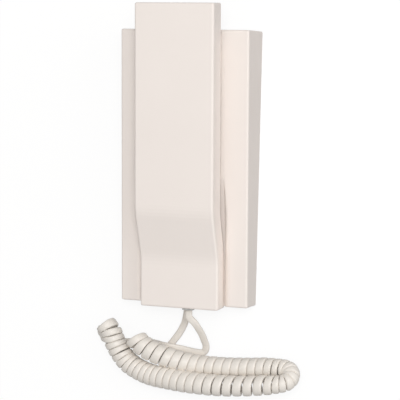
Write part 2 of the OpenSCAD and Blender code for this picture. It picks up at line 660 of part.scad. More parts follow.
mic_w = -foot_sink + handset_wall + 0.8;
module microphone() color(steel) on_face() translate([0, v_mic, mic_w]) rotate_extrude($fn = 64)
    polygon([[0, 0.3], [mic_d / 2 - 1, 0.3], [mic_d / 2 - 1, 0], [mic_d / 2, 0], [mic_d / 2, mic_h - 0.5], [mic_d / 2 - 0.5, mic_h], [0, mic_h]]);

module microphone_grommet() color(dark) on_face() translate([0, v_mic, mic_w - 0.8]) rotate_extrude($fn = 64)
    polygon([[3.6, 0], [mic_d / 2 + grommet_wall, 0], [mic_d / 2 + grommet_wall, mic_h - 0.4], [mic_d / 2 + 0.05, mic_h - 0.4],
        [mic_d / 2 + 0.05, 0.8], [3.6, 0.8]]);

module handset_weight() color(steel) on_face() difference() {
    box([-weight_w / 2, v_weight - weight_l / 2, stand_off + handset_wall], [weight_w / 2, v_weight + weight_l / 2, stand_off + handset_wall + weight_t]);
    for (x = weight_pins) post([x, v_weight, stand_off + handset_wall - 1], 1.8, weight_t + 2);
}

module handset_board() color(board_green) on_face() difference() {
    box([hboard_x0, v_key - hboard_l / 2, hboard_w0], [hboard_x1, v_key + hboard_l / 2, hboard_w1]);
    for (p = hboard_posts) post([p[0], p[1], hboard_w0 - 1], 1.5, pcb_t + 2);
}

tact_w = 3.5;
tact_l = 6;
tact_r = 1.2;
tact_x0 = hboard_x0 + 0.4;
tact_mid = hboard_w1 + tact_w / 2;
module key_switch() color(dark) on_face() difference() {
    box([tact_x0, v_key - tact_l / 2, hboard_w1], [tact_x0 + tact_w, v_key + tact_l / 2, hboard_w1 + tact_w]);
    translate([tact_x0 - 1, v_key, tact_mid]) rotate([0, 90, 0]) cylinder(r = tact_r + 0.25, h = 1 + 2.4, $fn = 40);
}

tact_out = 1.4;
module key_switch_stem() color(clear) on_face() translate([tact_x0 - tact_out, v_key, tact_mid]) rotate([0, 90, 0])
    cylinder(r = tact_r, h = tact_out + 1.2, $fn = 40);

module side_key() color(ivory) on_face() {
    difference() {
        box([-half_w - key_proud, v_key - key_l / 2, key_w0], [-half_w + handset_wall + 0.06, v_key + key_l / 2, key_w1]);
        // chamfer that carries on the handset's front edge
        translate([-half_w - key_proud, v_key, key_w1]) rotate([0, 45, 0]) cube([1, key_l + 2, 1], center = true);
    }
    // flange behind the wall, and the finger that reaches the switch
    box([-half_w + handset_wall + 0.05, v_key - key_l / 2 - 1.4, key_w0 - 1.2],
        [-half_w + handset_wall + 1.2, v_key + key_l / 2 + 1.4, key_w1 - handset_wall - key_gap]);
    box([-half_w + handset_wall + 1, v_key - 1.6, tact_mid - 1.4], [tact_x0 - tact_out, v_key + 1.6, tact_mid + 1.4]);
}

// ---- cord -------------------------------------------------------------------------------------
// The middle of the coil: x, y, z, radius of the curls, pitch of the curls
coil_route = [
    [-61.6, -114, 12.2, 6, 5.5], [-59.4, -116.3, 12, 6.1, 5.4], [-57.4, -118.9, 11.8, 6.2, 5.2], [-56, -121.9, 11.6, 6.4, 4.9],
    [-54.7, -125.3, 11.4, 6.4, 4.7], [-50.2, -132.8, 11.3, 6.4, 4.6], [-42.5, -141, 11.4, 6.4, 4.5], [-28, -146.9, 13, 6.4, 4.6],
    [-11, -148.9, 15, 6.4, 5.4], [8, -150, 16.5, 6.3, 6.3], [28, -150, 17.1, 6.2, 7.2], [46, -148.8, 17.2, 5.9, 7.5],
    [56, -147.6, 17.1, 5.8, 7.5], [63, -146.7, 17.1, 5.6, 6.8], [67, -146.2, 17, 5.2, 5.5], [71, -145.6, 16.8, 4.8, 4.3],
    [74.6, -144.7, 16.1, 4.7, 3.9], [77.2, -142.9, 14.4, 4.7, 3.75],
    [78.2, -140.4, 12.1, 4.7, 3.75], [77.2, -138, 9.8, 4.7, 3.75], [74.6, -136.3, 8.1, 4.7, 3.9], [71, -135.8, 7.4, 4.9, 4.2],
    [67, -136, 7.3, 5.2, 4.9], [63, -136.2, 7.2, 5.5, 5.5], [56, -136.6, 7.1, 5.7, 5.9], [46, -137.6, 7.1, 5.7, 6.1],
    [28, -138.7, 7.1, 5.7, 6.4], [8, -138.6, 7.8, 5.9, 6.5], [-6, -136.4, 10.2, 6.1, 6.5], [-18, -132.9, 12.6, 6.3, 6.5],
    [-27, -129.6, 13.4, 6.4, 6.3], [-33.2, -126.2, 13.4, 6.4, 6.2], [-37.2, -122.6, 13.2, 6.4, 6.2]];
// The lead from the handset's plug to the coil, after its plug
handset_lead_route = [[8.4, -108.2, 16.4], [10, -112.7, 12.6], [11, -116.8, 9], [11.5, -121, 5.8], [12, -125, 3.2],
    [11.2, -128.8, 1.8], [8.6, -130.9, 1.4], [4, -130.9, 1.4], [-2, -130.2, 1.4], [-7, -129.2, 2.2], [-11.5, -128.4, 4.1],
    [-16, -127.8, 4.6], [-20.5, -127.4, 4.2], [-25, -127, 2.4], [-30, -126.6, 1.4], [-37, -126, 1.4],
    [-43.5, -127, 1.4], [-49.2, -127.5, 1.4], [-54.6, -127.5, 1.4],
    [-60.2, -127.6, 1.7], [-65.4, -126.5, 3.2], [-67.8, -123, 6]];
// The lead from the coil to the base's plug
base_lead_route = [[-40.6, -128.4, 9.4], [-39.6, -129.4, 5.4], [-36.9, -131.1, 2.4], [-32, -132.3, 1.4], [-26.5, -132.7, 1.4], [-21.5, -131.8, 1.4],
    [-17.5, -129, 1.4], [-14.5, -125.6, 1.4], [-11.4, -121.6, 1.4], [-8.6, -117.6, 1.4], [-6.2, -113.4, 1.6],
    [-4.2, -109.2, 2.8]];

function spline_point(a, b, c, d, t) =
    0.5 * (2 * b + (c - a) * t + (2 * a - 5 * b + 4 * c - d) * t * t + (3 * b - a - 3 * c + d) * t * t * t);
// A smooth line through the points, with n steps between two of them
function spline(p, n) = let (m = len(p) - 1) [
    for (i = [0:m - 1], k = [0:n - 1]) spline_point(
        i > 0 ? p[i - 1] : 2 * p[0] - p[1], p[i], p[i + 1], i + 2 <= m ? p[i + 2] : 2 * p[m] - p[m - 1], k / n),
    p[m]];
function xyz(p) = [p[0], p[1], p[2]];

axis_line = spline(coil_route, 8);
// Curls wound before each point of the line
axis_turns = [for (i = 0, a = 0; i < len(axis_line);
    i = i + 1, a = i < len(axis_line)
        ? a + 2 * norm(xyz(axis_line[i]) - xyz(axis_line[i - 1])) / (axis_line[i][4] + axis_line[i - 1][4]) : a) a];
curl_steps = 8;      // rings in one curl
start_angle = -160;
end_angle = -360;
axis_total = axis_turns[len(axis_line) - 1];
// The curls fill the whole line, and the last one ends at the end angle
curls = round(axis_total - (start_angle - end_angle) / 360) + (start_angle - end_angle) / 360;
axis_table = [for (c = [0:3]) [for (i = [0:len(axis_line) - 1]) [axis_turns[i] * curls / axis_total, axis_line[i][c]]]];

function axis_at(t) = [for (c = [0:2]) lookup(t, axis_table[c])];
function axis_dir(t) = unit(axis_at(min(t + 0.1, curls)) - axis_at(max(t - 0.1, 0)));
// A point of the wound cord after t curls, d further out than its middle
function curl_point(t, d = 0) = let (u = axis_dir(t), n = unit([-u[1], u[0], 0]), b = cross(u, n),
    q = start_angle - 360 * t, r = lookup(t, axis_table[3]) + d) axis_at(t) + r * (cos(q) * n + sin(q) * b);
function curl_dir(t) = unit(curl_point(min(t + 0.02, curls)) - curl_point(max(t - 0.02, 0)));
// Distance to the nearer of the two curls beside it
function curl_room(t, d) = min(t >= 1 ? norm(curl_point(t, d) - curl_point(t - 1, d)) : curl_w * 2,
    t <= curls - 1 ? norm(curl_point(t + 1, d) - curl_point(t, d)) : curl_w * 2);
// On the inside of a tight bend the cord is squeezed thinner and sits nearer the middle
function squeeze(t) = 1 - min(1, curl_room(t, 0) / 3.6);
function curl_width(t, d) = max(0.3, min(curl_w, curl_room(t, d) - curl_gap));
function coil_section(t) = let (k = squeeze(t), h = cord_t / 2 * (1 - 0.35 * k), m = -1.1 * k,
    lo = curl_width(t, m - h), mid = curl_width(t, m), hi = curl_width(t, m + h))
    [[-mid / 2, m], [-lo * 0.38, m - h], [lo * 0.38, m - h], [mid / 2, m], [hi * 0.38, m + h], [-hi * 0.38, m + h]];
function lead_section(w, t) = [[-w / 2, -t * 0.2], [-w * 0.38, -t / 2], [w * 0.38, -t / 2], [w / 2, -t * 0.2],
    [w / 2, t * 0.2], [w * 0.38, t / 2], [-w * 0.38, t / 2], [-w / 2, t * 0.2]];
// A ring of the section s at p, across the direction u, with its width along a
function cord_ring(p, u, a, s) = let (w = unit(a - (a * u) * u), h = cross(u, w)) [for (q = s) p + q[0] * w + q[1] * h];

curl_rings = round(curls * curl_steps);
coil_rings = [for (i = [0:curl_rings]) let (t = i * curls / curl_rings)
    cord_ring(curl_point(t), curl_dir(t), axis_dir(t), coil_section(t))];

// Least gap of the coil to itself, measured between the corners of neighbouring curls
coil_gap_beside = min([for (i = [0:len(coil_rings) - 1 - curl_steps + 1], d = [curl_steps - 1:curl_steps + 1], a = [0:5], b = [0:5])
    if (i + d < len(coil_rings)) norm(coil_rings[i][a] - coil_rings[i + d][b])]);
coil_gap_across = min([for (i = [0:2:len(coil_rings) - 1], j = [i + 24:2:len(coil_rings) - 1])
    let (p = curl_point(i * curls / curl_rings), q = curl_point(j * curls / curl_rings)) norm(p - q) < 7
        ? min([for (a = [0:5], b = [0:5]) norm(coil_rings[i][a] - coil_rings[j][b])]) : 9]);
echo(curls = curls, least_gap_beside = coil_gap_beside, least_gap_across = coil_gap_across);  // cord_coil

function level_across(u) = cross([0, 0, 1], u);
function lead_ring(p, u, a) = cord_ring(p, u, a * level_across(u) < 0 ? -a : a, lead_section(cord_w, cord_t));
function lead_rings(pts) = let (m = len(pts) - 1) [for (i = [1:m - 1])
    let (u = unit(pts[i + 1] - pts[i - 1])) lead_ring(pts[i], u, level_across(u))];

handset_exit = [handset_jack_x, to_y(v_foot - plug_out, handset_jack_w), to_z(v_foot - plug_out, handset_jack_w)];
handset_exit_dir = [0, -cos(tilt), -sin(tilt)];
base_exit = [base_jack_x, -base_h / 2 - plug_out, base_jack_z];

// The last rings of the handset's lead turn their width over to that of the first curl
lead_twist_n = 12;
module cord_handset_lead() color(cream) {
    p = handset_exit + cord_w * handset_exit_dir;
    route = spline(concat([handset_exit, p], handset_lead_route, [curl_point(0)]), 2);
    m = len(route) - 1;
    last = axis_dir(0);
    skin(concat(
        [lead_ring(handset_exit, handset_exit_dir, [1, 0, 0]), lead_ring(p, handset_exit_dir, [1, 0, 0])],
        [for (i = [3:m - 1]) let (u = unit(route[i + 1] - route[i - 1]), s = max(0, 1 - (m - i) / lead_twist_n))
            cord_ring(route[i], u, (1 - s) * level_across(u) + s * last, lead_section(cord_w, cord_t))],
        [cord_ring(curl_point(0), curl_dir(0), last, lead_section(cord_w, cord_t))]));
}

module cord_coil() color(cream) skin(coil_rings);

module cord_base_lead() color(cream) {
    p = base_exit - [0, cord_w, 0];
    route = spline(concat([curl_point(curls)], base_lead_route, [p, base_exit]), 2);
    skin(concat(
        [lead_ring(curl_point(curls), curl_dir(curls), axis_dir(curls))],
        lead_rings([for (i = [0:len(route) - 3]) route[i]]),
        [lead_ring(p, [0, 1, 0], [1, 0, 0]), lead_ring(base_exit, [0, 1, 0], [1, 0, 0])]));
}

base_back_plate();
base_cover();
cover_screw();
base_board();
base_board_screws();
terminal_block();
terminal_screws();
capacitors();
sounder();
hook_plunger();
hook_spring();
hook_switch();
hook_switch_pin();
base_jack();
base_plug();
handset_front_shell();
handset_rear_shell();
handset_screws();
receiver();
receiver_seal();
microphone();
microphone_grommet();
handset_weight();
handset_board();
key_switch();
key_switch_stem();
side_key();
handset_jack();
handset_plug();
cord_handset_lead();
cord_coil();
cord_base_lead();
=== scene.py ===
import json
import math

import bmesh
import bpy
from mathutils import Matrix, Vector


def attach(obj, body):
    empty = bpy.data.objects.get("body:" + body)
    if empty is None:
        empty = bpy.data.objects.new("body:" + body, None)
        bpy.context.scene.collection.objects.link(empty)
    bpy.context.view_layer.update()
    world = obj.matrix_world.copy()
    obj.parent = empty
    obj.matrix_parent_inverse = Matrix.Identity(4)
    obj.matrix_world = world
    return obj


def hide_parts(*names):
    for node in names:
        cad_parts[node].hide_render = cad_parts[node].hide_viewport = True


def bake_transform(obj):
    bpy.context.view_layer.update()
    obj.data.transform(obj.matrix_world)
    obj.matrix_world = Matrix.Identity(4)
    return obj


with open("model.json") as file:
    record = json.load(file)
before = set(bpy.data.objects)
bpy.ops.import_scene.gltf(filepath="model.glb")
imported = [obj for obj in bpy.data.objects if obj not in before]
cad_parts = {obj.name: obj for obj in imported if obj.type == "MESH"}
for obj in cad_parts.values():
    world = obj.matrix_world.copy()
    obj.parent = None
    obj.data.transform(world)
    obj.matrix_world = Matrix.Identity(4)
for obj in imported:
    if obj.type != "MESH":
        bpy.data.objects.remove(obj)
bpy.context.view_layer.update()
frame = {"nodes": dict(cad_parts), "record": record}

MM = 0.001
ACROSS = Vector((1, 0, 0))
UP_THE_WALL = Vector((0, 1, 0))
OUT_OF_THE_WALL = Vector((0, 0, 1))

# ---- camera -----------------------------------------------------------------------------

LENS = 152.735
CAMERA_PLACE = (0.42923, 0.06000, 1.10951)
CAMERA_ROLL = -1.33
CAMERA_PITCH = 4.01
CAMERA_YAW = -20.98


def make_camera():
    data = bpy.data.cameras.new("camera")
    data.sensor_width = 36.0
    data.lens = LENS
    data.clip_start = 0.05
    data.clip_end = 20.0
    camera = bpy.data.objects.new("camera", data)
    bpy.context.scene.collection.objects.link(camera)
    look = (Matrix.Rotation(math.radians(CAMERA_ROLL), 3, "Z")
            @ Matrix.Rotation(math.radians(CAMERA_PITCH), 3, "X")
            @ Matrix.Rotation(math.radians(CAMERA_YAW), 3, "Y"))
    place = look.transposed().to_4x4()
    place.translation = CAMERA_PLACE
    camera.matrix_world = place
    bpy.context.scene.camera = camera


make_camera()

# ---- curly cord: all lengths in mm, as in the part's source -----------------------------

# The middle of the coil: x, y, z, radius of the curls, pitch of the curls
COIL_ROUTE = [
    (-61.6, -114, 12.2, 6, 5.5), (-59.4, -116.3, 12, 6.1, 5.4), (-57.4, -118.9, 11.8, 6.2, 5.2),
    (-56, -121.9, 11.6, 6.4, 4.9), (-54.7, -125.3, 11.4, 6.4, 4.7), (-50.2, -132.8, 11.3, 6.4, 4.6),
    (-42.5, -141, 11.4, 6.4, 4.5), (-28, -146.9, 13, 6.4, 4.6), (-11, -148.9, 15, 6.4, 5.4),
    (8, -150, 16.5, 6.3, 6.3), (28, -150, 17.1, 6.2, 7.2), (46, -148.8, 17.2, 5.9, 7.5),
    (56, -147.6, 17.1, 5.8, 7.5), (63, -146.7, 17.1, 5.6, 6.8), (67, -146.2, 17, 5.2, 5.5),
    (71, -145.6, 16.8, 4.8, 4.3), (74.6, -144.7, 16.1, 4.7, 3.9), (77.2, -142.9, 14.4, 4.7, 3.75),
    (78.2, -140.4, 12.1, 4.7, 3.75), (77.2, -138, 9.8, 4.7, 3.75), (74.6, -136.3, 8.1, 4.7, 3.9),
    (71, -135.8, 7.4, 4.9, 4.2), (67, -136, 7.3, 5.2, 4.9), (63, -136.2, 7.2, 5.5, 5.5),
    (56, -136.6, 7.1, 5.7, 5.9), (46, -137.6, 7.1, 5.7, 6.1), (28, -138.7, 7.1, 5.7, 6.4),
    (8, -138.6, 7.8, 5.9, 6.5), (-6, -136.4, 10.2, 6.1, 6.5), (-18, -132.9, 12.6, 6.3, 6.5),
    (-27, -129.6, 13.4, 6.4, 6.3), (-33.2, -126.2, 13.4, 6.4, 6.2), (-37.2, -122.6, 13.2, 6.4, 6.2)]
HANDSET_LEAD = [
    (8.4, -108.2, 16.4), (10, -112.7, 12.6), (11, -116.8, 9), (11.5, -121, 5.8), (12, -125, 3.2),
    (11.2, -128.8, 1.8), (8.6, -130.9, 1.4), (4, -130.9, 1.4), (-2, -130.2, 1.4), (-7, -129.2, 2.2),
    (-11.5, -128.4, 4.1), (-16, -127.8, 4.6), (-20.5, -127.4, 4.2), (-25, -127, 2.4), (-30, -126.6, 1.4),
    (-37, -126, 1.4), (-43.5, -127, 1.4), (-49.2, -127.5, 1.4), (-54.6, -127.5, 1.4),
    (-60.2, -127.6, 1.7), (-65.4, -126.5, 3.2), (-67.8, -123, 6)]
BASE_LEAD = [
    (-40.6, -128.4, 9.4), (-39.6, -129.4, 5.4), (-36.9, -131.1, 2.4), (-32, -132.3, 1.4),
    (-26.5, -132.7, 1.4), (-21.5, -131.8, 1.4), (-17.5, -129, 1.4), (-14.5, -125.6, 1.4),
    (-11.4, -121.6, 1.4), (-8.6, -117.6, 1.4), (-6.2, -113.4, 1.6), (-4.2, -109.2, 2.8)]

# Where the cord leaves the two plugs, and which way. The base's face falls by 10 mm over its 190 mm,
# and the handset leans with it. The first stretch from a plug is straight.
FACE_TILT = math.atan(10 / 190)
HANDSET_EXIT = Vector((4.8, -98.284, 19.432))
HANDSET_OUT = Vector((0, -math.cos(FACE_TILT), -math.sin(FACE_TILT)))
BASE_EXIT = Vector((-1.6, -96.6, 6.3))
STRAIGHT = 5.0

# The strip in the leads. The powers shape its section: 1 would make it an ellipse and 0 a rectangle.
CORD_WIDE = 5.0
CORD_THICK = 2.6
CORNERS = 20
SIDE_POWER = 0.62
FACE_POWER = 0.72

# The strip in the curls: as wide as its neighbours leave room for, and down to the lead's width at its ends
CURL_WIDE = 6.2
CURL_NARROW = 0.35
CURL_GAP = 0.12
END_CURLS = 0.6
# Where the curls crowd on the inside of a bend, the strip is thinner and lies further in
CROWDED_UNDER = 3.6
CROWDED_THINNER = 0.35
CROWDED_INWARD = 1.1

# Where the wound cord starts and ends, in degrees round the coil's middle
START_ANGLE = -160.0
END_ANGLE = -360.0

# Steps between two points of the coil's route, round one curl and between two points of a lead,
# and the number of rings over which the handset's lead turns on edge
COIL_STEPS = 8
CURL_STEPS = 24
LEAD_STEPS = 6
TWIST_RINGS = 36


def spline(points, steps):
    """A Catmull-Rom line through points of any length."""
    last = len(points) - 1
    size = len(points[0])
    line = []
    for i in range(last):
        b, c = points[i], points[i + 1]
        a = points[i - 1] if i else [2 * b[k] - c[k] for k in range(size)]
        d = points[i + 2] if i + 2 <= last else [2 * c[k] - b[k] for k in range(size)]
        for s in range(steps):
            t = s / steps
            line.append([0.5 * (2 * b[k] + (c[k] - a[k]) * t
                                + (2 * a[k] - 5 * b[k] + 4 * c[k] - d[k]) * t * t
                                + (3 * b[k] - a[k] - 3 * c[k] + d[k]) * t ** 3) for k in range(size)])
    line.append(list(points[last]))
    return line


class Coil:
    """The wound cord as a function of how many curls have gone by."""

    def __init__(self, route):
        self.line = spline(route, COIL_STEPS)
        self.turns = [0.0]
        for a, b in zip(self.line, self.line[1:]):
            way = (Vector(b[:3]) - Vector(a[:3])).length
            self.turns.append(self.turns[-1] + 2 * way / (a[4] + b[4]))
        part = (START_ANGLE - END_ANGLE) / 360
        self.curls = round(self.turns[-1] - part) + part
        self.turns = [t * self.curls / self.turns[-1] for t in self.turns]

    def look_up(self, t):
        """Place, radius and pitch after t curls."""
        turns = self.turns
        t = min(max(t, 0.0), turns[-1])
        low, high = 0, len(turns) - 1
        while high - low > 1:
            mid = (low + high) // 2
            low, high = (mid, high) if turns[mid] <= t else (low, mid)
        share = (t - turns[low]) / (turns[high] - turns[low])
        return [p + (q - p) * share for p, q in zip(self.line[low], self.line[high])]

    def along(self, t, reach=0.1):
        """The way of the coil's middle."""
        ahead = Vector(self.look_up(min(t + reach, self.curls))[:3])
        behind = Vector(self.look_up(max(t - reach, 0))[:3])
        return (ahead - behind).normalized()

    def point(self, t, out=0.0):
        """The middle of the strip after t curls, or a point further out from the coil's middle."""
        u = self.along(t)
        n = Vector((-u.y, u.x, 0)).normalized()
        b = u.cross(n)
        turn = math.radians(START_ANGLE - 360 * t)
        at = self.look_up(t)
        return Vector(at[:3]) + (at[3] + out) * (math.cos(turn) * n + math.sin(turn) * b)

    def heading(self, t, reach=0.02):
        """The way of the wound cord itself."""
        return (self.point(min(t + reach, self.curls)) - self.point(max(t - reach, 0))).normalized()

    def room(self, t, out):
        """Distance to the nearer of the two curls beside it."""
        before = after = 2 * CURL_WIDE
        if t >= 1:
            before = (self.point(t, out) - self.point(t - 1, out)).length
        if t <= self.curls - 1:
            after = (self.point(t + 1, out) - self.point(t, out)).length
        return min(before, after)

    def wide(self, t, out):
        """The width of the strip after t curls."""
        free = max(CURL_NARROW, min(CURL_WIDE, self.room(t, out) - CURL_GAP))
        share = min(1.0, min(t, self.curls - t) / END_CURLS)
        share = share * share * (3 - 2 * share)
        return min(free, CORD_WIDE) * (1 - share) + free * share


def section_ring(centre, heading, across, width_at=lambda y: CORD_WIDE, thick=CORD_THICK, shift=0.0):
    """One ring of the flat cord: a soft-cornered strip, its width along across."""
    wide_way = (across - across.dot(heading) * heading).normalized()
    flat_way = heading.cross(wide_way)
    ring = []
    for k in range(CORNERS):
        angle = 2 * math.pi * (k + 0.5) / CORNERS
        c, s = math.cos(angle), math.sin(angle)
        x = math.copysign(abs(c) ** SIDE_POWER, c)
        y = math.copysign(abs(s) ** FACE_POWER, s)
        ring.append(centre + wide_way * (x * width_at(y) / 2) + flat_way * (y * thick / 2 + shift))
    return ring


def exit_ring(centre, heading):
    """The ring at a plug, with the width across the phone and its corners in the leads' order."""
    across = ACROSS if ACROSS.dot(OUT_OF_THE_WALL.cross(heading)) >= 0 else -ACROSS
    return section_ring(centre, heading, across)


def heading_at(points, i):
    """The mean of the two ways into and out of a point."""
    before, after = points[i] - points[i - 1], points[i + 1] - points[i]
    return (before.normalized() + after.normalized()).normalized()


def tube(name, rings, centres):
    """A closed tube over the rings, with u along it in metres and v round it."""
    mesh = bpy.data.meshes.new(name)
    shape = bmesh.new()
    rows = [[shape.verts.new(p * MM) for p in ring] for ring in rings]
    count = len(rows[0])
    for near, far in zip(rows, rows[1:]):
        for k in range(count):
            m = (k + 1) % count
            shape.faces.new((near[k], far[k], far[m], near[m]))
    shape.faces.new(rows[0])
    shape.faces.new(list(reversed(rows[-1])))
    bmesh.ops.recalc_face_normals(shape, faces=shape.faces[:])
    along = shape.loops.layers.uv.new("along")
    lengths = [0.0]
    for a, b in zip(centres, centres[1:]):
        lengths.append(lengths[-1] + (b - a).length)
    place = {}
    for i, row in enumerate(rows):
        for k, vert in enumerate(row):
            place[vert] = (lengths[i] * MM, k / count)
    for face in shape.faces:
        for loop in face.loops:
            loop[along].uv = place[loop.vert]
        face.smooth = True
    shape.to_mesh(mesh)
    shape.free()
    made = bpy.data.objects.new(name, mesh)
    bpy.context.scene.collection.objects.link(made)
    return made


def make_handset_lead():
    """From the handset's plug, flat on the wall, and then turning on edge into the first curl."""
    straight = HANDSET_EXIT + STRAIGHT * HANDSET_OUT
    route = [tuple(HANDSET_EXIT), tuple(straight)] + HANDSET_LEAD + [tuple(coil.point(0))]
    line = [HANDSET_EXIT] + [Vector(p) for p in spline(route, LEAD_STEPS)][LEAD_STEPS:]
    last = len(line) - 1
    rings = [exit_ring(HANDSET_EXIT, HANDSET_OUT)]
    for i in range(1, last):
        heading = heading_at(line, i)
        share = max(0.0, 1 - (last - i) / TWIST_RINGS)
        across = (1 - share) * OUT_OF_THE_WALL.cross(heading) + share * coil.along(0)
        rings.append(section_ring(line[i], heading, across))
    rings.append(section_ring(coil.point(0), coil.heading(0), coil.along(0)))
    return tube("handset_lead", rings, line), line


def curl_ring(t):
    """One ring of the wound cord, each edge as wide as the curls beside it leave room for."""
    squeeze = 1 - min(1.0, coil.room(t, 0) / CROWDED_UNDER)
    half = CORD_THICK / 2 * (1 - CROWDED_THINNER * squeeze)
    shift = -CROWDED_INWARD * squeeze
    low, mid, high = (coil.wide(t, shift + d) for d in (-half, 0, half))
    return section_ring(
        coil.point(t), coil.heading(t), coil.along(t),
        lambda y: mid + (high - low) / 2 * y + ((high + low) / 2 - mid) * y * y, 2 * half, shift)


def make_coil_and_base_lead():
    """The wound cord, and on in one piece from its last curl up into the base's plug."""
    count = round(coil.curls * CURL_STEPS)
    stations = [i * coil.curls / count for i in range(count + 1)]
    rings = [curl_ring(t) for t in stations]
    centres = [coil.point(t) for t in stations]
    straight = BASE_EXIT - STRAIGHT * UP_THE_WALL
    route = [tuple(coil.point(coil.curls))] + BASE_LEAD + [tuple(straight), tuple(BASE_EXIT)]
    line = [Vector(p) for p in spline(route, LEAD_STEPS)][:-LEAD_STEPS] + [BASE_EXIT]
    for i in range(1, len(line) - 1):
        heading = heading_at(line, i)
        rings.append(section_ring(line[i], heading, OUT_OF_THE_WALL.cross(heading)))
    rings.append(exit_ring(BASE_EXIT, UP_THE_WALL))
    centres += line[1:]
    return tube("coil_and_base_lead", rings, centres), centres


def path_of(centres):
    return [tuple(p * MM) for p in centres]


def length_of(centres):
    """The length of a line of centres, in metres."""
    return sum((b - a).length for a, b in zip(centres, centres[1:])) * MM


coil = Coil(COIL_ROUTE)
handset_lead, handset_lead_line = make_handset_lead()
curly_cord, curly_cord_line = make_coil_and_base_lead()
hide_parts("cord_handset_lead")
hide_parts("cord_coil", "cord_base_lead")
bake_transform(handset_lead)
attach(curly_cord, "base")
length_of(handset_lead_line)
path_of(handset_lead_line)
tuple(coil.point(0) * MM)
length_of(curly_cord_line)
path_of(curly_cord_line)

# ---- materials --------------------------------------------------------------------------

WHITE = (1.0, 1.0, 1.0, 1.0)
# The two colour inputs and the colour output of a Mix node set to RGBA
MIX_DARK = 6
MIX_LIGHT = 7
MIX_RESULT = 2


class Socket:
    """A node's output, on which sums add Math nodes of their own."""

    def __init__(self, nodes, output):
        self.nodes = nodes
        self.output = output

    def math(self, operation, other, swap=False):
        first, second = (other, self) if swap else (self, other)
        return self.nodes.node("ShaderNodeMath", {"operation": operation}, {0: first, 1: second})

    def __add__(self, other):
        return self.math("ADD", other)

    def __sub__(self, other):
        return self.math("SUBTRACT", other)

    def __rsub__(self, other):
        return self.math("SUBTRACT", other, swap=True)

    def __mul__(self, other):
        return self.math("MULTIPLY", other)

    __radd__ = __add__
    __rmul__ = __mul__


class Nodes:
    """The nodes of a material, or of the sky, under construction."""

    def __init__(self, owner):
        owner.use_nodes = True
        self.tree = owner.node_tree
        self.tree.nodes.clear()

    def node(self, kind, settings, sockets, output=0):
        """A node of a type, with its settings, and its inputs as plain values or other nodes' outputs."""
        made = self.tree.nodes.new(kind)
        for name, value in settings.items():
            setattr(made, name, value)
        for key, value in sockets.items():
            if isinstance(value, Socket):
                self.tree.links.new(value.output, made.inputs[key])
            else:
                made.inputs[key].default_value = value
        return Socket(self, made.outputs[output]) if made.outputs else None

    def seen(self):
        """1 on the rays that show a thing to the camera, by itself, in metal or through glass."""
        rays = [self.node("ShaderNodeLightPath", {}, {}, output=name)
                for name in ("Is Camera Ray", "Is Glossy Ray", "Is Transmission Ray")]
        return rays[0].math("MAXIMUM", rays[1]).math("MAXIMUM", rays[2])


class Finish(Nodes):
    """A material, with its patterns on the piece's own object coordinates."""

    def __init__(self, name):
        self.material = bpy.data.materials.new(name)
        super().__init__(self.material)

    def place(self):
        return self.node("ShaderNodeTexCoord", {}, {}, output="Object")

    def noise(self, scale, detail=2.0, where=None):
        return self.node(
            "ShaderNodeTexNoise", {"noise_dimensions": "3D"},
            {"Vector": where or self.place(), "Scale": scale, "Detail": detail, "Roughness": 0.5})

    def around(self, mean, share, spread):
        """A number that wanders round its mean with a share between 0 and 1."""
        return share * spread + (mean - spread / 2)

    def tint(self, share, dark, light):
        return self.node(
            "ShaderNodeMix", {"data_type": "RGBA"},
            {"Factor": share, MIX_DARK: (*dark, 1.0), MIX_LIGHT: (*light, 1.0)}, output=MIX_RESULT)

    def bump(self, height, strength, distance):
        return self.node("ShaderNodeBump", {}, {"Height": height, "Strength": strength, "Distance": distance})

    def surface(self, **values):
        """Ends the material in one Principled surface."""
        inputs = {name.replace("_", " "): value for name, value in values.items()}
        shader = self.node("ShaderNodeBsdfPrincipled", {}, inputs)
        self.node("ShaderNodeOutputMaterial", {}, {"Surface": shader})
        return self.material


def moulded_plastic(name, dark, light, roughness, grain, shine=0.5):
    """Moulded plastic: a faint cloudiness of the colour and a fine spark-eroded grain."""
    finish = Finish(name)
    cloud = finish.noise(scale=28.0, detail=3.0)
    flow = finish.noise(scale=90.0)
    eroded = finish.noise(scale=1400.0)
    return finish.surface(
        Base_Color=finish.tint(cloud, dark, light),
        Roughness=finish.around(roughness, flow, spread=0.12),
        Normal=finish.bump(eroded, strength=grain, distance=0.0004),
        Specular_IOR_Level=shine)


def cord_sheath():
    """Soft vinyl sheath: slightly mottled and waxy."""
    finish = Finish("cord_sheath")
    mottle = finish.noise(scale=60.0, detail=3.0)
    wax = finish.noise(scale=150.0)
    pores = finish.noise(scale=900.0)
    return finish.surface(
        Base_Color=finish.tint(mottle, dark=(0.808, 0.755, 0.690), light=(0.850, 0.801, 0.740)),
        Roughness=finish.around(0.43, wax, spread=0.14),
        Normal=finish.bump(pores, strength=0.08, distance=0.0003))


def clear_plastic():
    """Clear plug plastic with faint flow marks, half seen through."""
    finish = Finish("clear_plug_plastic")
    flow = finish.noise(scale=260.0)
    ripple = finish.noise(scale=700.0)
    return finish.surface(
        Base_Color=finish.tint(flow, dark=(0.82, 0.81, 0.78), light=(0.90, 0.89, 0.87)),
        Roughness=finish.around(0.17, flow, spread=0.1),
        Normal=finish.bump(ripple, strength=0.05, distance=0.0003),
        Transmission_Weight=0.4,
        IOR=1.58)


